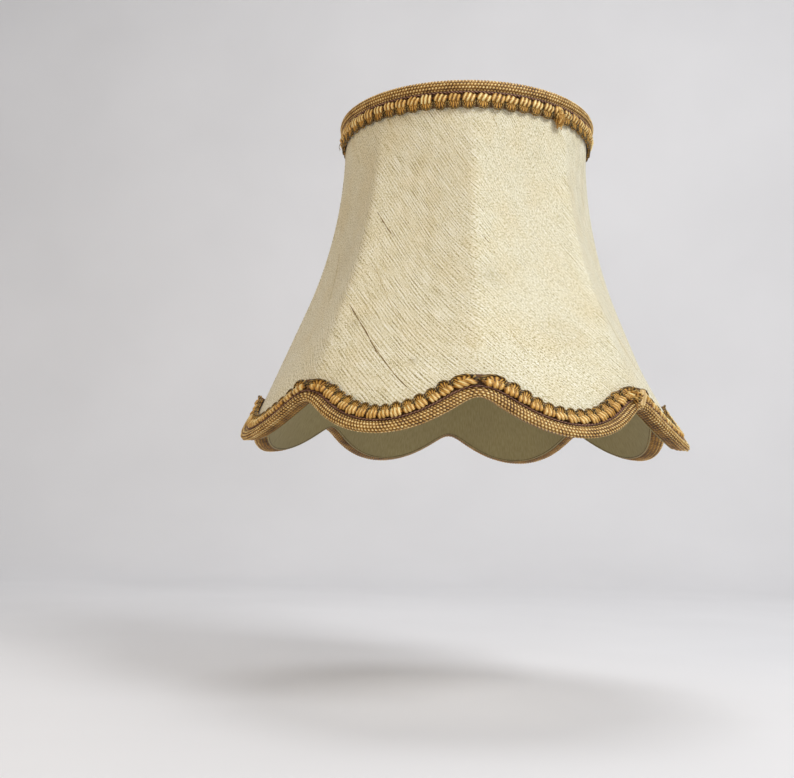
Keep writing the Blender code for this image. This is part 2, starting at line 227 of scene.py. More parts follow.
def repeated(name, place, s, b, n, faces, material, shade=None, uv=None):
    """Copies of one small shape on a band: s, b and n are arrays (copies, points)."""
    copies, size = s.shape
    points = place(s, b, n)
    every = faces[None] + np.arange(copies)[:, None, None] * size
    every = every.reshape(-1, faces.shape[1])
    loops = None if uv is None else np.tile(uv[faces], (copies, 1, 1, 1)).reshape(-1, 4, 2)
    return make_piece(name, points, every, material, loops, shade)


# ------------------------------------------------------------------ finishes


def srgb(code):
    """Linear RGBA from an sRGB hex colour."""
    values = np.array([int(code[k : k + 2], 16) for k in (0, 2, 4)]) / 255
    linear = np.where(values <= 0.04045, values / 12.92, ((values + 0.055) / 1.055) ** 2.4)
    return (*linear.tolist(), 1.0)


def node(tree, kind, inputs=None, out=0, stops=(), **settings):
    """Adds a node with its settings, and its inputs as links, plain values or hex colours.
    `stops` are a colour ramp's (position, hex colour) pairs. Gives the output `out`."""
    made = tree.nodes.new(kind)
    for key, value in settings.items():
        setattr(made, key, value)
    for key, value in (inputs or {}).items():
        if isinstance(value, bpy.types.NodeSocket):
            tree.links.new(value, made.inputs[key])
        else:
            made.inputs[key].default_value = srgb(value) if isinstance(value, str) else value
    if stops:
        elements = made.color_ramp.elements
        while len(elements) < len(stops):
            elements.new(0.5)
        for element, (position, code) in zip(elements, stops):
            element.position = position
            element.color = srgb(code)
    return made.outputs[out]


def new_finish(name, roughness, **values):
    """A material with its Principled shader, whose plain values are set on its sockets."""
    material = bpy.data.materials.new(name)
    material.use_nodes = True
    tree = material.node_tree
    shader = tree.nodes["Principled BSDF"]
    shader.inputs["Roughness"].default_value = roughness
    for key, value in values.items():
        shader.inputs[key.replace("_", " ")].default_value = value
    return material, tree, shader


THREAD_ANGLE = math.radians(-50)  # weft on the cloth's flat layout, from level
WEFT_APART = 1.7  # mm, three times its real spacing, so that it shows


def slub_silk():
    """Shantung: a plain silk weave whose weft thickens and thins, so that it shows as fine broken lines on
    the slant, with a few long slubs and a little soiling, yellowed with age. How much line and how much
    grain each panel shows is painted by panel: it stands for how the light falls across the weft, more
    line where the weft crosses the light and more grain on the next panel."""
    material, tree, shader = new_finish("slub_silk_shantung", 0.7, Sheen_Weight=0.15,
                                        Sheen_Roughness=0.45, Specular_IOR_Level=0.25)
    cloth = node(tree, "ShaderNodeUVMap", uv_map="cloth")
    painted_shade_and_tone = node(tree, "ShaderNodeAttribute", out="Fac", attribute_name="painted_shade_and_tone")
    soil = node(tree, "ShaderNodeAttribute", out="Fac", attribute_name="soil")
    turned = node(tree, "ShaderNodeMapping", {0: cloth, 2: (0, 0, -THREAD_ANGLE)})

    def lines(long, apart, detail=2.0):
        """Broken lines along the weft, so many mm long and so many apart."""
        scaled = node(tree, "ShaderNodeMapping", {0: turned, 3: (1 / long, 1 / apart, 1)})
        return node(tree, "ShaderNodeTexNoise", {"Vector": scaled, "Scale": 1.0, "Detail": detail})

    # The weft: even threads that wander a little, with thick and thin places.
    wander = node(tree, "ShaderNodeMath", {0: lines(26, 6, 1.0), 1: 9}, operation="MULTIPLY")
    even = {"Vector": turned, "Scale": math.pi / 10 / WEFT_APART, "Phase Offset": wander}
    picked = node(tree, "ShaderNodeTexWave", even, "Fac", bands_direction="Y")
    thin = node(tree, "ShaderNodeMath", {0: lines(1.1, 0.42, 1.0), 1: 0.49}, operation="MULTIPLY")
    thick = {0: lines(14, 0.5, 0.0), 1: 0.38, 2: thin}
    uneven = node(tree, "ShaderNodeMath", thick, operation="MULTIPLY_ADD")
    weft = node(tree, "ShaderNodeMath", {0: picked, 1: 0.13, 2: uneven}, operation="MULTIPLY_ADD")

    # The grain: short lengths of thread, and flecks.
    grain = node(tree, "ShaderNodeTexNoise", {"Vector": cloth, "Scale": 1.3, "Roughness": 0.65})
    flecks = node(tree, "ShaderNodeMath", {0: grain, 1: 0.55}, operation="MULTIPLY")
    short = {0: lines(1.7, 0.6), 1: 0.45, 2: flecks}
    speckle = node(tree, "ShaderNodeMath", short, operation="MULTIPLY_ADD")

    # Each panel's share of line, and the rest grain: painted by panel, for how the light falls across the
    # weft.
    share = node(tree, "ShaderNodeMapRange", {0: painted_shade_and_tone, 3: 0.22, 4: 0.6})
    rest = node(tree, "ShaderNodeMath", {0: 1.0, 1: share}, operation="SUBTRACT")
    lined = node(tree, "ShaderNodeMath", {0: weft, 1: share}, operation="MULTIPLY")
    threads = node(tree, "ShaderNodeMath", {0: speckle, 1: rest, 2: lined}, operation="MULTIPLY_ADD")
    cream = ((0.39, "8A7B53"), (0.46, "CDC29A"), (0.53, "E6DFC6"), (0.62, "F7F2E4"))
    ground = node(tree, "ShaderNodeValToRGB", {"Fac": threads}, stops=cream)

    # Age: yellowed patches, browned slubs and soiled spots.
    broad = {"Vector": cloth, "Scale": 1 / 26, "Detail": 3.0, "Roughness": 0.6}
    patches = node(tree, "ShaderNodeTexNoise", broad)
    yellowed = node(tree, "ShaderNodeMapRange", {0: patches, 1: 0.42, 2: 0.7, 3: 0.0, 4: 0.3})
    aged = node(tree, "ShaderNodeMix", {0: yellowed, 6: ground, 7: "F6E6C4"}, 2,
                data_type="RGBA", blend_type="MULTIPLY")
    slubs = node(tree, "ShaderNodeMapRange", {0: lines(15, 1.1, 1.0), 1: 0.72, 2: 0.79})
    browned = node(tree, "ShaderNodeMath", {0: slubs, 1: 0.5}, operation="MULTIPLY")
    slubbed = node(tree, "ShaderNodeMix", {0: browned, 6: aged, 7: "94814F"}, 2, data_type="RGBA")
    soiled = node(tree, "ShaderNodeMix", {0: soil, 6: slubbed, 7: "8C7C58"}, 2, data_type="RGBA")
    height = node(tree, "ShaderNodeMath", {0: slubs, 1: 0.5, 2: threads}, operation="MULTIPLY_ADD")
    normal = node(tree, "ShaderNodeBump", {"Height": height, "Distance": 0.0003, "Strength": 0.7})
    tree.links.new(soiled, shader.inputs["Base Color"])
    tree.links.new(normal, shader.inputs["Normal"])
    return material


def lining_cloth():
    """Plain acetate lining: matt and a little yellowed, its colour darkened to a dull olive as painted
    shade for the inside of the shade. Its weave is too fine to see, and is drawn 0.7 mm apart so that it
    shows a little."""
    material, tree, shader = new_finish("acetate_lining", 0.7, Sheen_Weight=0.1)
    cloth = node(tree, "ShaderNodeUVMap", uv_map="cloth")
    weave = node(tree, "ShaderNodeMapping", {0: cloth, 3: (1 / 0.7, 1 / 5, 1)})
    threads = node(tree, "ShaderNodeTexNoise", {"Vector": weave, "Scale": 1.0})
    # The lining's ground is darkened to olive: painted shade for the inside of the shade.
    olive = ((0.35, "8E8052"), (0.65, "9E9062"))
    ground = node(tree, "ShaderNodeValToRGB", {"Fac": threads}, stops=olive)
    patches = node(tree, "ShaderNodeTexNoise", {"Vector": cloth, "Scale": 1 / 40, "Detail": 3.0})
    yellowed = node(tree, "ShaderNodeMapRange", {0: patches, 1: 0.4, 2: 0.7, 3: 0.0, 4: 0.35})
    aged = node(tree, "ShaderNodeMix", {0: yellowed, 6: ground, 7: "857650"}, 2, data_type="RGBA")
    normal = node(tree, "ShaderNodeBump", {"Height": threads, "Distance": 0.0002, "Strength": 0.5})
    tree.links.new(aged, shader.inputs["Base Color"])
    tree.links.new(normal, shader.inputs["Normal"])
    return material


FLOSS_LEAN = math.radians(28)  # of the threads round a wound tuft
FLOSS_APART, FLOSS_RUN = 0.55, 4  # mm across and along them


def thread_finish(name, dark, middle, bright, roughness, metallic, strand, wound=False):
    """Wound or knitted thread, painted dark as shade between its turns as a value on the mesh says, and
    broken up by its own fine strands, `strand` mm apart. On a wound piece the strands also run round it,
    as its UV map gives."""
    material, tree, shader = new_finish(name, roughness, Metallic=metallic)
    painted_shade_and_tone = node(tree, "ShaderNodeAttribute", out="Fac", attribute_name="painted_shade_and_tone")
    place = node(tree, "ShaderNodeTexCoord", out="Object")
    fine = {"Vector": place, "Scale": 1000 / strand, "Roughness": 0.6}
    strands = node(tree, "ShaderNodeTexNoise", fine)
    if wound:
        cloth = node(tree, "ShaderNodeUVMap", uv_map="cloth")
        lean = node(tree, "ShaderNodeMapping", {0: cloth, 2: (0, 0, FLOSS_LEAN)})
        drawn = node(tree, "ShaderNodeMapping", {0: lean, 3: (1 / FLOSS_APART, 1 / FLOSS_RUN, 1)})
        threads = node(tree, "ShaderNodeTexNoise", {"Vector": drawn, "Scale": 1.0, "Detail": 1.0})
        fibres = node(tree, "ShaderNodeMath", {0: strands, 1: 0.3}, operation="MULTIPLY")
        strands = node(tree, "ShaderNodeMath", {0: threads, 1: 0.7, 2: fibres},
                       operation="MULTIPLY_ADD")
    wear = node(tree, "ShaderNodeTexNoise", {"Vector": place, "Scale": 130})
    # Painted shade: the thread's colour goes darker between its turns, as the mesh's value says.
    turns = node(tree, "ShaderNodeMath", {0: painted_shade_and_tone, 1: 0.35}, operation="SUBTRACT")
    mixed = node(tree, "ShaderNodeMath", {0: strands, 1: 0.7, 2: turns}, operation="MULTIPLY_ADD")
    level = node(tree, "ShaderNodeMath", {0: mixed, 1: 0.25}, operation="SUBTRACT")
    worn = node(tree, "ShaderNodeMath", {0: wear, 1: 0.5, 2: level}, operation="MULTIPLY_ADD")
    shades = ((0.12, dark), (0.5, middle), (0.92, bright))
    colour = node(tree, "ShaderNodeValToRGB", {"Fac": worn}, stops=shades)
    normal = node(tree, "ShaderNodeBump", {"Height": strands, "Distance": 0.0003, "Strength": 0.8})
    tree.links.new(colour, shader.inputs["Base Color"])
    tree.links.new(normal, shader.inputs["Normal"])
    return material


def coated_wire():
    """White epoxy powder coat on drawn steel wire: smooth, with a faint orange peel."""
    material, tree, shader = new_finish("powder_coated_wire", 0.42)
    place = node(tree, "ShaderNodeTexCoord", out="Object")
    peel = node(tree, "ShaderNodeTexNoise", {"Vector": place, "Scale": 900})
    dust = node(tree, "ShaderNodeTexNoise", {"Vector": place, "Scale": 60, "Detail": 3.0})
    whites = ((0.35, "D8D4C8"), (0.65, "E8E5DC"))
    colour = node(tree, "ShaderNodeValToRGB", {"Fac": dust}, stops=whites)
    normal = node(tree, "ShaderNodeBump", {"Height": peel, "Distance": 0.0001, "Strength": 0.4})
    tree.links.new(colour, shader.inputs["Base Color"])
    tree.links.new(normal, shader.inputs["Normal"])
    return material


def plated_steel():
    """Pressed steel with a bright zinc plate: brushed by the press, a little dulled."""
    material, tree, shader = new_finish("zinc_plated_steel", 0.32, Metallic=1.0)
    place = node(tree, "ShaderNodeTexCoord", out="Object")
    drawn = node(tree, "ShaderNodeMapping", {0: place, 3: (60, 900, 900)})
    brushed = node(tree, "ShaderNodeTexNoise", {"Vector": drawn, "Scale": 1.0, "Detail": 3.0})
    greys = ((0.3, "A9A59C"), (0.7, "CDC9BF"))
    colour = node(tree, "ShaderNodeValToRGB", {"Fac": brushed}, stops=greys)
    normal = node(tree, "ShaderNodeBump", {"Height": brushed, "Distance": 0.00005, "Strength": 0.5})
    tree.links.new(colour, shader.inputs["Base Color"])
    tree.links.new(normal, shader.inputs["Normal"])
    return material


def cotton_tape():
    """Unbleached cotton tape: a coarse matt weave."""
    material, tree, shader = new_finish("cotton_tape", 0.85)
    place = node(tree, "ShaderNodeTexCoord", out="Object")
    weave = node(tree, "ShaderNodeTexNoise", {"Vector": place, "Scale": 1400})
    greys = ((0.35, "B8AC8A"), (0.65, "D9CFB0"))
    colour = node(tree, "ShaderNodeValToRGB", {"Fac": weave}, stops=greys)
    normal = node(tree, "ShaderNodeBump", {"Height": weave, "Distance": 0.0002, "Strength": 0.6})
    tree.links.new(colour, shader.inputs["Base Color"])
    tree.links.new(normal, shader.inputs["Normal"])
    return material


# Yarns: lurex and floss are metal-covered and glint between gaps painted dark as shade, satin cord and the
# ground tapes are dull, and the rope is between the two.
SILK = slub_silk()
LINING_CLOTH = lining_cloth()
KNIT = thread_finish("knitted_gold_lurex", "40240A", "BC8A38", "FFEDB0", 0.5, 0.25, 0.5)
GOLD = thread_finish("wound_gold_floss", "4A2A0A", "D0983C", "FFF0B0", 0.5, 0.15, 0.45, True)
FRAY = thread_finish("frayed_gold_floss", "4A2A0C", "BE8A36", "FADA8A", 0.5, 0.15, 0.45)
SATIN = thread_finish("rose_brown_satin_cord", "2A150C", "744936", "AE866A", 0.55, 0.0, 0.6)
ROPE = thread_finish("twisted_olive_rope", "150E03", "5C4519", "BF9A52", 0.5, 0.2, 0.45)
PALE_SATIN = thread_finish("pale_tan_satin_cord", "6B4A22", "BC9657", "E2C38C", 0.5, 0.0, 0.6)
FILL = thread_finish("gold_woven_ground", "43280A", "AC7830", "E8B858", 0.6, 0.15, 0.5)
TAPE = thread_finish("umber_gimp_ground", "251506", "5E3E1C", "8A6332", 0.65, 0.0, 0.6)
SLUB = thread_finish("silk_slub_thread", "6E5328", "B7A26A", "DDD2A6", 0.7, 0.0, 0.8)
COATED = coated_wire()
STEEL = plated_steel()
COTTON = cotton_tape()


# ------------------------------------------------------------------ cloth


def meridian(z_values):
    """Length of the silk from the top down to each height, measured along a rib."""
    z = np.linspace(0, HEIGHT, 400)
    step = np.hypot(np.diff(z), np.diff(rib_radius(z)))
    length = np.concatenate([[0], np.cumsum(step)])
    return np.interp(HEIGHT, z, length) - np.interp(z_values, z, length)


LAYOUT_RADIUS = 100 * MM  # the silk's flat layout is as wide as the shade is here


def flat_layout(angle, z):
    """Place on the cloth's flat layout, in millimetres. The cloth is cut on the bias and
    stretched over the frame, closer together at the neck than at the hem."""
    return np.stack([angle * LAYOUT_RADIUS, -meridian(z)], axis=-1) * 1000


def on_silk(flat, depth):
    """The point of the shade over a place on the flat layout."""
    heights = np.linspace(0, HEIGHT, 400)
    z = np.interp(flat[..., 1] / 1000, -meridian(heights), heights)
    return wall(flat[..., 0] / 1000 / LAYOUT_RADIUS, z, depth)


# Marks of age: degrees from the front rib, height in mm, size in mm and strength.
SOILED = [
    (4, 97, 9, 0.16), (-17, 43, 1.7, 0.5), (-39, 69, 2.2, 0.35), (28, 62, 14, 0.07),
    (-62, 120, 16, 0.1), (120, 80, 12, 0.12), (171, 140, 8, 0.12), (-140, 60, 2.2, 0.4),
]
# Long slubs: from and to, in degrees from the front rib and mm of height, then
# thickness in mm and darkness.
LONG_SLUBS = [
    (-43.1, 82.5, -27.5, 47.5, 0.38, 0.85), (-32, 57, -15.1, 23, 0.32, 0.8),
    (-42.8, 143.9, -33.3, 126.3, 0.34, 0.8), (-39.4, 110.9, -20.5, 57.9, 0.16, 0.55),
    (7.4, 203.4, 9.7, 193.6, 0.24, 0.55), (2, 124, 5, 118, 0.3, 0.6), (9, 64, 14, 47.7, 0.18, 0.5),
    (45, 89.4, 62.4, 48.9, 0.18, 0.45), (36, 128, 44, 108, 0.16, 0.45), (-74, 128, -60, 86, 0.2, 0.5),
    (150, 150, 165, 118, 0.3, 0.7), (-165, 90, -146, 46, 0.3, 0.7), (100, 120, 112, 96, 0.3, 0.6),
]


def build_slubs():
    """Thick places in the silk's weft: slender tubes that lie along the threads, thickest
    in the middle, half sunk in the cloth. A few are long and brown, the rest are short."""
    short, along, around = 60, 30, 6
    long_ones = np.array(LONG_SLUBS)
    start = flat_layout(FRONT + np.radians(long_ones[:, [0, 2]]), long_ones[:, [1, 3]] * MM)
    place = np.stack([rng.uniform(-178, 178, short), rng.uniform(42, 196, short)], axis=1)
    first = flat_layout(FRONT + np.radians(place[:, 0]), place[:, 1] * MM)
    run = rng.uniform(5, 16, (short, 1)) * (math.cos(THREAD_ANGLE), math.sin(THREAD_ANGLE))
    start, end = np.concatenate([start[:, 0], first]), np.concatenate([start[:, 1], first + run])
    thick = np.concatenate([long_ones[:, 4], rng.uniform(0.14, 0.26, short)])[:, None, None]
    dark = np.concatenate([long_ones[:, 5], rng.uniform(0.0, 0.4, short)])[:, None, None]
    t = np.linspace(0, 1, along)[None, :, None]
    turns = np.linspace(0, 2 * math.pi, around, endpoint=False)[None, None, :]
    phase = rng.uniform(0, 6, thick.shape)
    uneven = 0.62 + 0.25 * np.sin(17 * t + phase) + 0.13 * np.sin(41 * t - phase)
    radius = thick * np.sin(math.pi * t) ** 0.4 * uneven + 0.02
    way = (end - start) / np.linalg.norm(end - start, axis=1, keepdims=True)
    wander = 0.4 * np.sin(5 * t + phase) + radius * np.cos(turns)
    flat = start[:, None, None] + (end - start)[:, None, None] * (t + 0 * turns)[..., None]
    side = np.stack([-way[:, 1], way[:, 0]], axis=1)[:, None, None]
    depth = COVER_FACE + (0.03 + 0.8 * radius * np.sin(turns)) * MM
    points = on_silk(flat + side * wander[..., None], depth)
    every = capped_tube(along, around)[None] + np.arange(len(start))[:, None, None] * along * around
    shade = np.broadcast_to(1 - dark, points.shape[:3])
    slubs = make_piece("silk_slubs", points, every.reshape(-1, 4), SLUB, shade=shade)
    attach(slubs, "shade")


def cloth_half(name, first, depths, top, per_panel, rows, material):
    """Half of a skin from rib `first`, a closed sheet between two depths. `top` is a
    function of the angle, and the low edge follows the hem."""
    start = FRONT + first * 2 * HALF_PANEL
    edge = GAP / 2 / TOP_RADIUS
    angles = np.linspace(start + edge, start + math.pi - edge, 4 * per_panel + 1)
    lower = hem_rise(angles) + HEM
    share = np.linspace(0, 1, rows)
    z = lower[:, None] + (top(angles) - lower)[:, None] * share
    a = np.repeat(angles[:, None], rows, axis=1)
    outer, inner = wall(a, z, depths[1]), wall(a, z, depths[0])
    points = np.concatenate([outer, inner[:, ::-1]], axis=1)
    flat = flat_layout(a, z)
    flat = np.concatenate([flat, flat[:, ::-1]], axis=1)
    count, corners = points.shape[:2]
    faces = capped_tube(count, corners)
    uv = flat.reshape(-1, 2)[faces]
    # Each panel's share of weft line against grain, painted for how the light falls across that panel.
    lines = 0.5 - 0.5 * np.sin(RIBS / 2 * (angles - FRONT))
    painted_shade_and_tone = np.repeat(lines[:, None], corners, axis=1)
    soil = np.zeros(flat.shape[:2])
    for degrees, height, size, strength in SOILED:
        spot = flat_layout(start + np.mod(FRONT + math.radians(degrees) - start, 2 * math.pi), height * MM)
        soil += strength * np.exp(-(((flat - spot) ** 2).sum(axis=-1)) / size**2)
    return make_piece(name, points, faces, material, uv, {"painted_shade_and_tone": painted_shade_and_tone, "soil": np.clip(soil, 0, 1)})


def build_cloth():
    """Two halves of cover and of lining. Each arm comes through a slit in the lining."""
    cloth_top = HEIGHT - HEM
    for side, first in (("front", -2), ("back", 2)):
        cover = cloth_half(f"silk_cover_{side}", first, (SKIN, COVER_FACE), lambda a: cloth_top + 0 * a,
                           44, 120, SILK)
        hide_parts(f"cover_{side}")
        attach(cover, "shade")
        middle = FRONT + (first + 2) * 2 * HALF_PANEL

        def lining_top(a, middle=middle):
            near = np.abs(a - middle) * TOP_RADIUS
            return cloth_top - 10 * MM * np.clip((2.4 * MM - near) / (0.6 * MM), 0, 1)

        lining = cloth_half(f"lining_cloth_{side}", first, (LINING_FACE, -SKIN), lining_top,
                            40, 80, LINING_CLOTH)
        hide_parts(f"lining_{side}")
        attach(lining, "shade")


def build_seams():
    """The side seams: a flat fold of the front half's edge over the back half's. The
    lining has the same fold on its inner face."""
    # Section of the fold: across the seam, and out from the cloth.
    across = np.array([-1.4, -1.2, -0.4, 0.5, 1.25, 1.4, 1.4, -1.4]) * MM
    rise = np.array([0.02, 0.26, 0.34, 0.34, 0.28, 0.02, -0.2, -0.2]) * MM
    for side, angle in (("left", math.pi), ("right", 0)):
        for name, face, out, finish, slot in (
            ("seam_fold", COVER_FACE, 1, SILK, "slub_silk"),
            ("lining_seam_fold", LINING_FACE, -1, LINING_CLOTH, "lining_cloth"),
        ):
            z = np.linspace(float(hem_rise(angle)) + HEM + SKIN, HEIGHT - HEM - 2 * MM, 60)[:, None]
            near = angle + out * across / surface_radius(angle + 0 * z, z)
            points = wall(near, z, face + out * rise)
            round_it = np.append(across, across[0]) * 1000
            uv = (np.append(z, z[-1]) * 1000, round_it)
            fold = swept(f"{name}_{side}", points, finish, long_closed=False, uv=uv,
                         shade=np.full(points.shape[:2], 0.3))
            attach(fold, "shade")


def build_slit_tabs():
    """A patch of cotton tape behind the foot of each slit, its ends turned a little."""
    tab_top = float(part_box("slit_tab_front")[1][2])
    tab_low = float(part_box("slit_tab_front")[0][2])
    half = float(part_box("slit_tab_front")[1][0]) / TOP_RADIUS
    rows, columns = 29, 25
    v = np.linspace(0, 1, rows)[None, :]
    for side, middle in (("front", FRONT), ("back", -FRONT)):
        u = np.linspace(-1, 1, columns)[:, None]
        weave = 0.5 + 0.5 * np.cos(math.pi * np.arange(rows))[None, :] * np.cos(
            math.pi * np.arange(columns))[:, None]
        ragged = 0.25 * MM * np.sin(40 * u) * np.sin(23 * u + 1)
        z = tab_low + (tab_top - tab_low) * v + ragged * (1 - 2 * v)
        back = LINING_FACE - GAP + 0 * z
        face = back - LINING * (0.85 + 0.15 * weave)
        inner = wall(middle + half * u, z, face)
        outer = wall(middle + half * u, z, back)
        points = np.concatenate([outer, inner[:, ::-1]], axis=1)
        painted_shade_and_tone = np.concatenate([weave, weave[:, ::-1]], axis=1)
        tab = swept(f"woven_tab_{side}", points, COTTON, long_closed=False, shade=painted_shade_and_tone)
        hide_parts(f"slit_tab_{side}")
        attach(tab, "shade")


# ------------------------------------------------------------------ gimp braid


HEM_RADIUS = 141 * MM  # the hem is laid flat at this mean radius


def hem_line():
    """Samples of the hem laid flat: angle, rise, direction and distance along it."""
    angle = np.linspace(0, 2 * math.pi, RIBS * 400 + 1) + FRONT
    x = angle * HEM_RADIUS
    y = hem_rise(angle) / math.cos(FLARE)
    length = np.concatenate([[0], np.cumsum(np.hypot(np.diff(x), np.diff(y)))])
    direction = np.arctan2(np.gradient(y), np.gradient(x))
    return angle, y, direction, length


HEM_ANGLE, HEM_Y, HEM_DIRECTION, HEM_DISTANCE = hem_line()
HEM_LENGTH = HEM_DISTANCE[-1]
TOP_BAND_RADIUS = TOP_RADIUS + 5 * MM
TOP_LENGTH = 2 * math.pi * TOP_BAND_RADIUS
CUSP_PINCH = 0.17
CUSP_LIFT = 3.4 * MM


def bottom_band(s, b, depth):
    """A point of the bottom braid: s along the hem, b above its edge and at right angles
    to it, and a depth. At the cusps the braid is pinched, and its upper edge stands off."""
    s = np.mod(s, HEM_LENGTH)
    angle = np.interp(s, HEM_DISTANCE, HEM_ANGLE)
    rise = np.interp(s, HEM_DISTANCE, HEM_Y)
    direction = np.interp(s, HEM_DISTANCE, HEM_DIRECTION)
    at_cusp = np.exp(-((from_rib(angle) / CUSP_SOFTNESS) ** 2))
    across = b * (1 - CUSP_PINCH * at_cusp)
    lift = CUSP_LIFT * at_cusp * np.clip(b / BRAID_WIDTH, 0, 1) ** 2
    angle = angle - across * np.sin(direction) / HEM_RADIUS
    z = (rise + across * np.cos(direction)) * math.cos(FLARE)
    return wall(angle, z, depth + lift)


def top_band(s, b, depth):
    """A point of the top braid: s round the rim, b below it, and a depth."""
    return wall(FRONT + s / TOP_BAND_RADIUS, HEIGHT - b, depth)


TAPE_THICK = 1.3 * MM
TAPE_FACE = COVER_FACE + GAP + TAPE_THICK
LIP_FACE = LINING_FACE - 0.25 * MM
RIM = [(2.3, LIP_FACE / MM), (0.5, 0.6)]  # inside of the rim: b and depth in mm


def band_piece(name, place, length, step, section, material):
    """A closed ring on a band. `section` gives b, depth and the painted shade and tone for each distance.
    """
    count = int(length / step)
    s = (np.arange(count) * length / count)[:, None]
    b, depth, painted_shade_and_tone = np.broadcast_arrays(*section(s))
    points = place(np.broadcast_to(s, b.shape), b, depth)
    return swept(name, points, material, shade=painted_shade_and_tone)


def ground_tape(name, place, length):
    """The gimp's ground tape: up the wall, and turned in under the rim on a slant."""
    wide = BRAID_WIDTH - 1.6 * MM
    up = np.linspace(wide, 2 * MM, 8)
    inside = TAPE_FACE - 0.75 * MM
    turned_in = [(1.1, TAPE_FACE / MM - 1.4), (0.95, 0.8), (RIM[0][0] + 0.1, LIP_FACE / MM + 0.1)]
    turned_in += [(RIM[0][0] + 0.1, LIP_FACE / MM + 0.6), (1.55, 1.2), (1.65, inside / MM - 0.6)]
    turned_in = np.array(turned_in) * MM
    profile_b = np.concatenate([up, turned_in[:, 0], up[::-1]])
    profile_depth = np.concatenate([0 * up + TAPE_FACE, turned_in[:, 1], 0 * up + inside])

    def section(s):
        weave = np.sin(2 * math.pi * s / (1.3 * MM)) * np.cos(profile_b / MM * 3)
        return profile_b + 0 * s, profile_depth + 0 * s, 0.5 + 0.3 * weave

    return band_piece(name, place, length, 0.7 * MM, section, TAPE)


STITCH, STITCH_ROW = 2.05 * MM, 2.0  # length along the cord, and mm from row to row
KNIT_STEP = 0.42 * MM


def knit_height(s, rows_up, length, pitch):
    """Rows of knitted stitches: in each cell of a grid on the slant an oval bead, highest
    a third of the way out from its middle. Every other row is moved half a cell along."""
    cells = round(length / pitch)
    row = np.floor(rows_up)
    v = rows_up - row - 0.5
    u = np.mod(s * cells / length + 0.5 * row + 0.3 * v, 1) - 0.5
    radius = np.hypot(u / 0.46, v / 0.48)
    return np.exp(-(((radius - 0.35) / 0.36) ** 2))


def rim_path():
    """Section of the knitted cord: in under the rim on a slant, then round most of an
    ellipse to the groove. Gives its points, its normals and the distance along it."""
    lip = np.linspace(RIM[0], RIM[1], 9)
    turns = np.radians(np.linspace(-22, 175, 48))
    roll = np.stack([3.7 - 3.45 * np.cos(turns), TAPE_FACE / MM + 0.1 + 2.45 * np.sin(turns)], axis=1)
    rough = np.concatenate([lip[:-1], roll])
    run = np.concatenate([[0], np.cumsum(np.linalg.norm(np.diff(rough, axis=0), axis=1))])
    even = np.linspace(0, run[-1], 36)
    path = np.stack([np.interp(even, run, rough[:, k]) for k in range(2)], axis=1)
    along = np.gradient(path, axis=0)
    normal = np.stack([-along[:, 1], along[:, 0]], axis=1)
    return path, normal / np.linalg.norm(normal, axis=1, keepdims=True), even


def knitted_cord(name, place, length):
    """Knitted lurex cord rolled over the rim and in under it, its surface raised along its normals by rows
    of stitches. It is painted darker between the stitches and in the part turned in under the rim, as
    shade."""
    path, normal, even = rim_path()
    back = np.array([(6.0, TAPE_FACE / MM - 0.5), (1.7, 1.4), (RIM[0][0] + 0.25, LIP_FACE / MM + 0.2)])
    taper = np.clip(np.minimum(even, even[-1] - even) / 0.8, 0, 1)
    inside = np.clip((7.4 - even) / 1.2, 0, 1)

    def section(s):
        loose = 0.12 * MM * np.sin(even[None] * 1.9 + 210 * s) * np.sin(even[None] * 0.7 + 530 * s)
        stitch = knit_height(s + loose, even[None] / STITCH_ROW, length, STITCH)
        stitch = stitch * (0.86 + 0.14 * np.sin(even[None] * 2.3 + 900 * s) * np.sin(370 * s))
        raised = 0.7 * taper * (stitch - 0.4)
        outline = path[None] + normal[None] * raised[..., None]
        b = np.concatenate([outline[..., 0], back[:, 0] + 0 * s], axis=1)
        depth = np.concatenate([outline[..., 1], back[:, 1] + 0 * s], axis=1)
        # Painted shade: darker between the stitches, and darker in the part turned in under the rim.
        painted_shade_and_tone = 0.16 + 0.84 * stitch * (1 - 0.55 * inside)
        painted_shade_and_tone = np.concatenate([painted_shade_and_tone, 0 * s + 0 * back[:, 0]], axis=1)
        return b * MM, depth * MM, painted_shade_and_tone

    return band_piece(name, place, length, KNIT_STEP, section, KNIT)


def round_cord(name, place, length, b0, size, step, material, twist):
    """A twisted cord laid along a band: an ellipse in section that swells twice in its
    turn, and the swelling goes once round in each `twist`."""
    turns = np.linspace(0, 2 * math.pi, 9)[:-1]
    wide, proud = size
    waves = round(length / twist)

    def section(s):
        swell = 0.5 + 0.5 * np.cos(2 * turns - 2 * math.pi * s * waves / length)
        thick = 0.75 + 0.25 * swell
        b = b0 + wide * thick * np.sin(turns)
        depth = TAPE_FACE + 0.45 * proud + proud * thick * np.cos(turns)
        # The swelling is also painted shade: the cord is darker in the grooves of its twist.
        return b, depth, swell

    return band_piece(name, place, length, step, section, material)


TUFT_MIDDLE = 11.4 * MM  # above the braid's edge
TUFT_HALF_HEIGHT = 3.0 * MM
TUFT_PROUD = 1.95 * MM
TUFT_LEAN = 26  # degrees


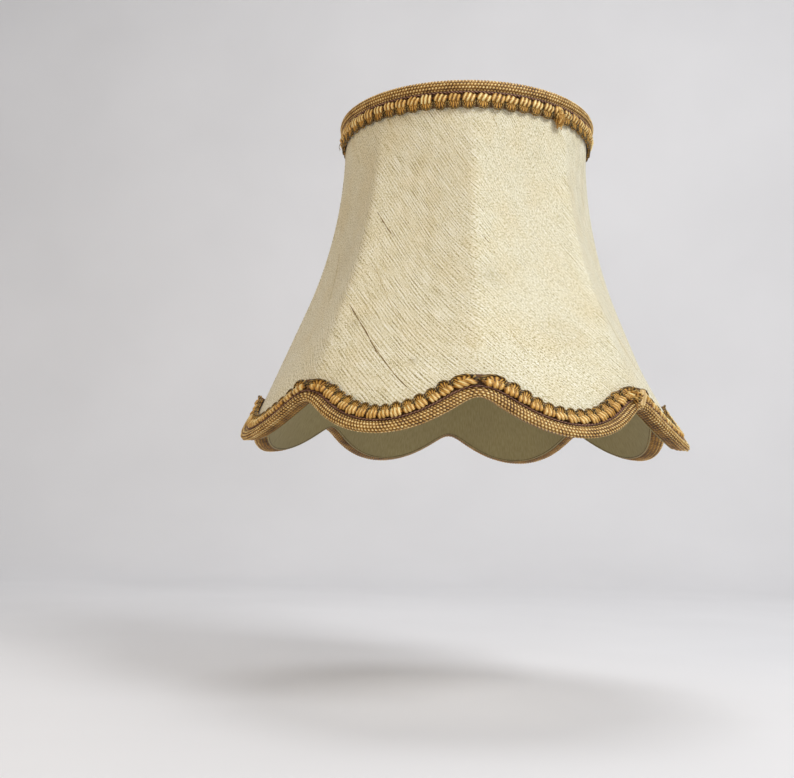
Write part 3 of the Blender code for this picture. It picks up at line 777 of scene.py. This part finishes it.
def tufts(name, place, length, count):
    """Chunky wound tufts, one for each repeat: a plump cushion that leans along the braid,
    its threads wound on a slant."""
    around, along = 6, 14
    u = np.linspace(0, 2 * math.pi, around, endpoint=False)[None, :] + 0.5
    v = np.linspace(0.2, math.pi - 0.2, along)[:, None]
    x = np.cos(v) + 0 * u
    swell = np.sin(v) ** 0.55
    wound = 0.5 + 0.5 * np.cos(2 * math.pi * (3.3 * (x + 1) / 2 + u / (2 * math.pi)))
    size = swell * (1 + 0.34 * (wound - 0.5))
    y, z = size * np.cos(u), size * np.sin(u)
    pitch = length / count
    one = np.ones((count, 1, 1))
    centre = (np.arange(count)[:, None, None] + 0.5 + rng.uniform(-0.05, 0.05, one.shape)) * pitch
    turn = np.radians(TUFT_LEAN + rng.uniform(-16, 16, one.shape))
    long = 0.5 * pitch * rng.uniform(0.9, 1.06, one.shape)
    high = TUFT_HALF_HEIGHT * rng.uniform(0.85, 1.1, one.shape)
    proud = TUFT_PROUD * rng.uniform(0.85, 1.1, one.shape)
    s = centre + long * x - high * y * np.sin(turn)
    b = TUFT_MIDDLE + 0.45 * long * x * np.sin(turn) + high * y * np.cos(turn)
    n = TAPE_FACE + 0.9 * MM + proud * z + 0 * s
    light = rng.uniform(0.75, 1.1, one.shape)
    # Painted shade: darker between the windings, on the back towards the tape and at the ends; each tuft's
    # brightness also differs a little at random.
    shade = 0.1 + 0.9 * light * wound * np.clip(z + 0.7, 0, 1) * swell + 0 * s
    flat = [array.reshape(count, -1) for array in (s, b, n)]
    uv = np.stack([x / 2 * pitch + 0 * u, u * 2.2 * MM + 0 * x], axis=-1).reshape(-1, 2) * 1000
    return repeated(name, place, *flat, capped_tube(along, around), GOLD, shade, uv)


SCALLOP_FOOT = 12.0 * MM
SCALLOP_DEEP = 5.9 * MM
FAN_CENTRE = 10.5 * MM
ROPE_RADIUS = 0.68 * MM
ROPE_TWIST = 2.3 * MM


def scallop_path(t, half):
    """A U of a half width: nearly upright sides and a round end, from the scallop's foot."""
    bow = np.sign(np.cos(t)) * np.abs(np.cos(t)) ** 0.75
    return -half * bow, SCALLOP_FOOT + SCALLOP_DEEP * np.sin(t) ** 0.7


def rope_scallops(name, place, length, count):
    """Scallops, one for each repeat: a loop of two-strand rope that swells as it twists."""
    around, along = 6, 19
    turns = np.linspace(0, 2 * math.pi, around, endpoint=False)
    t = np.linspace(0.02, math.pi - 0.02, along)
    pitch = length / count
    path_s, path_b = scallop_path(t, 0.5 * pitch - 0.55 * MM)
    ds, db = np.gradient(path_s), np.gradient(path_b)
    size = np.hypot(ds, db)
    run = np.concatenate([[0], np.cumsum(np.hypot(np.diff(path_s), np.diff(path_b)))])
    swell = 0.5 + 0.5 * np.cos(2 * turns - 2 * math.pi * run[:, None] / ROPE_TWIST)
    radius = ROPE_RADIUS * (0.7 + 0.3 * swell)
    local_s = path_s[:, None] - (db / size)[:, None] * radius * np.cos(turns)
    local_b = path_b[:, None] + (ds / size)[:, None] * radius * np.cos(turns)
    local_n = TAPE_FACE + 0.7 * MM + radius * np.sin(turns)
    centre = (np.arange(count)[:, None] + 0.5) * pitch
    longer = rng.uniform(-0.5, 0.35, (count, 1)) * MM
    reach = np.clip((local_b.reshape(1, -1) - 13 * MM) / (4 * MM), 0, 1)
    s = centre + local_s.reshape(1, -1)
    b = local_b.reshape(1, -1) + longer * reach
    n = local_n.reshape(1, -1) + 0 * s
    # Painted shade: the rope is darker in the grooves of its twist.
    shade = np.broadcast_to(swell.reshape(1, -1), s.shape)
    return repeated(name, place, s, b, n, capped_tube(along, around), ROPE, shade)


def scallop_grounds(name, place, length, count):
    """Threads that fan out inside each scallop: a low dome with radiating ridges."""
    rings, spokes = 4, 14
    t = np.linspace(0, math.pi, spokes)
    r = np.linspace(0.1, 1, rings)[:, None]
    pitch = length / count
    edge_s, edge_b = scallop_path(t, 0.5 * pitch - 0.6 * MM)
    local_s = (r * edge_s).ravel()
    local_b = (FAN_CENTRE + r * (edge_b - FAN_CENTRE)).ravel()
    ridge = np.cos(math.pi * np.arange(spokes)) + 0 * r
    top = (TAPE_FACE + 1.1 * MM * (1.15 - r**2) + 0.28 * MM * ridge).ravel()
    local_n = np.concatenate([top, np.full(top.size, TAPE_FACE - 0.5 * MM)])
    centre = (np.arange(count)[:, None] + 0.5) * pitch
    s = centre + np.tile(local_s, 2)
    b = np.tile(local_b, 2) + 0 * s
    n = local_n + 0 * s
    size = rings * spokes
    loop_i, loop_j = grid_faces(rings, spokes, False, False)
    front = loop_i * spokes + loop_j
    ring = np.arange(size).reshape(rings, spokes)
    border = np.concatenate([ring[0, :-1], ring[:-1, -1], ring[-1, :0:-1], ring[:0:-1, 0]])
    after = np.roll(border, -1)
    wall_faces = np.stack([border, after, after + size, border + size], axis=1)
    faces = np.concatenate([front, front[:, ::-1] + size, wall_faces[:, ::-1]])
    # Painted shade: lighter on the ridges, darker between them.
    shade = np.tile((0.5 + 0.42 * ridge).ravel(), 2)
    return repeated(name, place, s, b, n, faces, FILL, np.broadcast_to(shade, s.shape))


def strands(name, place, starts, ends, bow, thick, material):
    """Loose threads in a band's own directions, each a bent tapering tube. `starts` and
    `ends` are (threads, 3) arrays of s, b and depth; `bow` carries the middle of each."""
    around, along = 6, 8
    t = np.linspace(0, 1, along)[None, :, None]
    path = starts[:, None] * (1 - t) + ends[:, None] * t + bow[:, None] * 4 * t * (1 - t)
    step = np.gradient(path, axis=1)
    step /= np.linalg.norm(step, axis=2, keepdims=True)
    across = np.cross(step, [0.3, 0.2, 0.9])
    across /= np.linalg.norm(across, axis=2, keepdims=True)
    other = np.cross(step, across)
    turns = np.linspace(0, 2 * math.pi, around, endpoint=False)[None, None, :, None]
    radius = thick * (1 - 0.35 * t[..., None])
    ring = across[:, :, None] * np.cos(turns) + other[:, :, None] * np.sin(turns)
    points = (path[:, :, None] + radius * ring).reshape(len(starts), -1, 3)
    faces = capped_tube(along, around)
    shade = np.broadcast_to(0.35 + 0.5 * rng.random((len(starts), 1)), points.shape[:2])
    return repeated(name, place, points[..., 0], points[..., 1], points[..., 2], faces, material, shade)


def tuft_of_strands(name, place, s0, b_range, reach, count, thick, material, seed):
    """A frayed bunch of threads about s0, which fall and curl as cut ends do."""
    dice = np.random.default_rng(seed)
    starts = np.stack([
        s0 + dice.uniform(-2.2, 2.2, count) * MM,
        dice.uniform(*b_range, count) * MM,
        TAPE_FACE + dice.uniform(1.2, 2.8, count) * MM,
    ], axis=1)
    way = dice.normal(0, 1, (count, 3)) * (1.6 * MM, 1.5 * MM, 0.7 * MM)
    ends = starts + way + np.array(reach) * MM
    ends[:, 2] = np.maximum(ends[:, 2], TAPE_FACE + 0.3 * MM)
    bow = dice.normal(0, 1, (count, 3)) * (0.7 * MM, 0.7 * MM, 0.5 * MM) + (0, 0, 0.9 * MM)
    return strands(name, place, starts, ends, bow, thick, material)


def join_strip(name, place, s0, lean, width, b_low, b_high, material):
    """A flat end of cord laid across the braid to cover its join, slightly domed."""
    t = np.linspace(0, 1, 26)[:, None]
    turns = np.linspace(0, 2 * math.pi, 12, endpoint=False)[None, :]
    b = (b_low + (b_high - b_low) * t + 0.2 * MM * np.sin(9 * t)) + 0 * turns
    end = np.sqrt(np.clip(1 - (2 * t - 1) ** 8, 0.05, 1))
    s = s0 + lean * (t - 0.5) + width / 2 * end * np.cos(turns)
    rise = 1.3 * MM * np.sin(math.pi * np.clip(t * 1.1, 0, 1)) ** 0.5
    n = TAPE_FACE + 1.1 * MM + rise + 0.55 * MM * np.sin(turns)
    # Painted shade: darker between the strip's ridges.
    painted_shade_and_tone = 0.7 + 0.2 * np.cos(6 * turns) + 0 * t
    return swept(name, place(s, b, n), material, long_closed=False, shade=painted_shade_and_tone)


def build_braid(name, place, length, count):
    """Gimp braid from its straight edge outward: knitted cord, a dark stitched groove, a
    satin cord, wound tufts and rope scallops, all on a ground tape."""
    ground = ground_tape(f"{name}_ground_tape", place, length)
    parts = [
        knitted_cord(f"{name}_knitted_cord", place, length),
        round_cord(f"{name}_stitched_groove", place, length, b0=7.3 * MM, size=(0.45 * MM, 0.7 * MM),
                   step=0.5 * MM, material=TAPE, twist=1.7 * MM),
        round_cord(f"{name}_satin_cord", place, length, b0=8.15 * MM, size=(0.6 * MM, 1.35 * MM),
                   step=0.6 * MM, material=SATIN, twist=2.4 * MM),
        tufts(f"{name}_tufts", place, length, count),
        rope_scallops(f"{name}_rope_scallops", place, length, count),
        scallop_grounds(f"{name}_scallop_grounds", place, length, count),
    ]
    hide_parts(name)
    for piece in (ground, *parts):
        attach(piece, "shade")


def build_joins():
    """Where each braid's ends meet: a strip laid over them, and threads that have frayed."""
    top_s = math.radians(-50.4 + 90) * TOP_BAND_RADIUS
    hem_s = float(np.interp(FRONT + math.radians(45), HEM_ANGLE, HEM_DISTANCE))
    top = [
        join_strip("top_join_strip", top_band, top_s, 1.6 * MM, 4.4 * MM, 8.2 * MM, 16 * MM, FRAY),
        tuft_of_strands("top_join_fray", top_band, top_s - 0.5 * MM, (10, 17), (0.4, 4.6, 0.2), 64,
                        0.42 * MM, FRAY, 3),
        tuft_of_strands("top_join_loose_threads", top_band, top_s + 1 * MM, (8, 15), (1.5, 2.5, 0.6), 9,
                        0.2 * MM, ROPE, 4),
        tuft_of_strands("top_left_loose_threads", top_band, -1.44 * TOP_BAND_RADIUS, (15, 17),
                        (-0.5, 5.0, 0.2), 3, 0.16 * MM, ROPE, 12),
    ]
    bottom = [
        join_strip("bottom_join_strip", bottom_band, hem_s + 0.8 * MM, 2.5 * MM, 3.6 * MM, 1.5 * MM,
                   16.5 * MM, PALE_SATIN),
        tuft_of_strands("bottom_join_fray", bottom_band, hem_s - 3.4 * MM, (8, 15), (-0.4, -2.2, 0.8), 24,
                        0.36 * MM, FRAY, 5),
        tuft_of_strands("bottom_join_loose_threads", bottom_band, hem_s - 2.5 * MM, (5, 16),
                        (-1.0, 1.0, 0.9), 10, 0.2 * MM, ROPE, 6),
    ]
    for pieces, node_name in ((top, "top_braid_join"), (bottom, "bottom_braid_join")):
        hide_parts(node_name)
        for piece in pieces:
            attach(piece, "shade")


BINDING_TURN = 9 * MM  # of wire, for each turn of the tape


def build_bindings():
    """Tape wound round the two ring wires: a tube that steps out at each turn's edge."""
    turns = np.linspace(0, 2 * math.pi, 10, endpoint=False)[None, :]
    for name, length, height in (
        ("top_binding", 0.501, lambda a: RING_Z + 0 * a),
        ("bottom_binding", 0.93, lambda a: hem_rise(a) + HEM + SKIN),
    ):
        angle = np.linspace(0, 2 * math.pi, 720, endpoint=False)[:, None] + FRONT
        wraps = round(length / BINDING_TURN)
        along = np.mod((angle - FRONT) * wraps / (2 * math.pi) + turns / (2 * math.pi), 1)
        radius = WIRE / 2 + 0.25 * MM + 0.45 * MM * np.clip(along * 8, 0, 1) * (1 - 0.35 * along)
        points = wall(angle, height(angle) + radius * np.sin(turns), radius * np.cos(turns))
        tape = swept(f"wound_{name}", points, COTTON, shade=along)
        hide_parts(name)
        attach(tape, "shade")


# ------------------------------------------------------------------ setting


def build_frame_finishes():
    """Gives each of the frame's own nodes the finish of its slot."""
    finishes = {"coated_wire": COATED, "plated_steel": STEEL, "cotton_tape": COTTON,
                "gimp_braid": GOLD, "slub_silk": SILK, "lining_cloth": LINING_CLOTH}
    slots = {part["node"]: part["material_slot"] for part in frame["record"]["subparts"]}
    for name, piece in frame["nodes"].items():
        piece.data.materials.clear()
        piece.data.materials.append(finishes[slots[name]])


def placed(side, up, back, place):
    """Matrix of an object at `place` whose own axes point along side, up and back."""
    matrix = Matrix.Identity(4)
    for row in range(3):
        matrix[row][0], matrix[row][1], matrix[row][2] = side[row], up[row], back[row]
    matrix.translation = place
    return matrix


def place_camera():
    """A 47 mm lens 70 cm away and just below the hem, looking up at the shade."""
    focal, pitch, roll, heading = 47.06, math.radians(7.08), math.radians(-1.41), math.radians(89.55)
    ahead = np.array([math.cos(heading), math.sin(heading), 0])
    right = np.array([math.sin(heading), -math.cos(heading), 0])
    up = np.array([0, 0, 1.0])
    forward = ahead * math.cos(pitch) + up * math.sin(pitch)
    lifted = -ahead * math.sin(pitch) + up * math.cos(pitch)
    x_axis = right * math.cos(roll) - lifted * math.sin(roll)
    y_axis = right * math.sin(roll) + lifted * math.cos(roll)
    data = bpy.data.cameras.new("camera")
    data.sensor_width = 36
    data.lens = focal
    camera = bpy.data.objects.new("camera", data)
    bpy.context.collection.objects.link(camera)
    stand = (-0.0491, -0.6956, -0.0452)
    camera.matrix_world = placed(x_axis, y_axis, -forward, stand)
    bpy.context.scene.camera = camera


def add_light(name, place, target, size, watts, colour="FFFFFF"):
    """A round lamp of so many watts at `place`, which faces `target`."""
    data = bpy.data.lights.new(name, "AREA")
    data.shape = "DISK"
    data.size = size
    data.energy = watts
    data.color = srgb(colour)[:3]
    light = bpy.data.objects.new(name, data)
    bpy.context.collection.objects.link(light)
    back = np.array(place, float) - np.array(target, float)
    back /= np.linalg.norm(back)
    side = np.cross((0, 0, 1), back)
    side /= np.linalg.norm(side)
    up = np.cross(back, side)
    light.matrix_world = placed(side, up, back, place)


def build_setting():
    """A pale sweep: a floor below the shade that curves up into a wall behind it."""
    floor_z, reach, wall_y, bend = -0.16, 6.0, 1.6, 0.5
    turns = np.linspace(0, math.pi / 2, 17)
    y = np.concatenate([[-reach], wall_y - bend + bend * np.sin(turns), [wall_y]])
    z = np.concatenate([[floor_z], floor_z + bend - bend * np.cos(turns), [floor_z + reach]])
    x = np.array([-reach, reach])
    x_grid, y_grid = np.meshgrid(x, y, indexing="ij")
    points = np.stack([x_grid, y_grid, z + 0 * x_grid], axis=-1)
    loop_i, loop_j = grid_faces(2, len(y), False, False)
    material, tree, shader = new_finish("pale_paper_sweep", 0.8)
    place = node(tree, "ShaderNodeTexCoord", out="Object")
    mottle = node(tree, "ShaderNodeTexNoise", {"Vector": place, "Scale": 3, "Detail": 3.0})
    greys = ((0.3, "E6E5E6"), (0.7, "ECEBEC"))
    colour = node(tree, "ShaderNodeValToRGB", {"Fac": mottle}, stops=greys)
    tree.links.new(colour, shader.inputs["Base Color"])
    sweep = make_piece("sweep", points, loop_i * len(y) + loop_j, material, closed=False)
    aim = (0, 0, 0.1)
    add_light("key", (1.0, -1.2, 1.1), aim, 0.9, 22.8, "FAFCFF")
    add_light("fill", (-1.3, -0.9, 0.34), aim, 0.9, 5, "FFDC9E")
    add_light("top", (0.1, 0.1, 1.7), aim, 1.0, 9)
    add_light("backdrop", (1.3, 0.5, 1.3), (0.6, 1.6, 0.95), 0.7, 3)
    world = bpy.data.worlds.new("studio")
    world.use_nodes = True
    background = world.node_tree.nodes["Background"]
    background.inputs["Color"].default_value = srgb("E4E6EA")
    background.inputs["Strength"].default_value = 0.42
    bpy.context.scene.world = world
    bpy.context.scene.view_settings.view_transform = "Standard"


place_camera()
build_setting()
build_frame_finishes()
build_cloth()
build_slubs()
build_seams()
build_slit_tabs()
build_bindings()
build_braid("bottom_braid", bottom_band, HEM_LENGTH, 112)
build_braid("top_braid", top_band, TOP_LENGTH, 60)
build_joins()
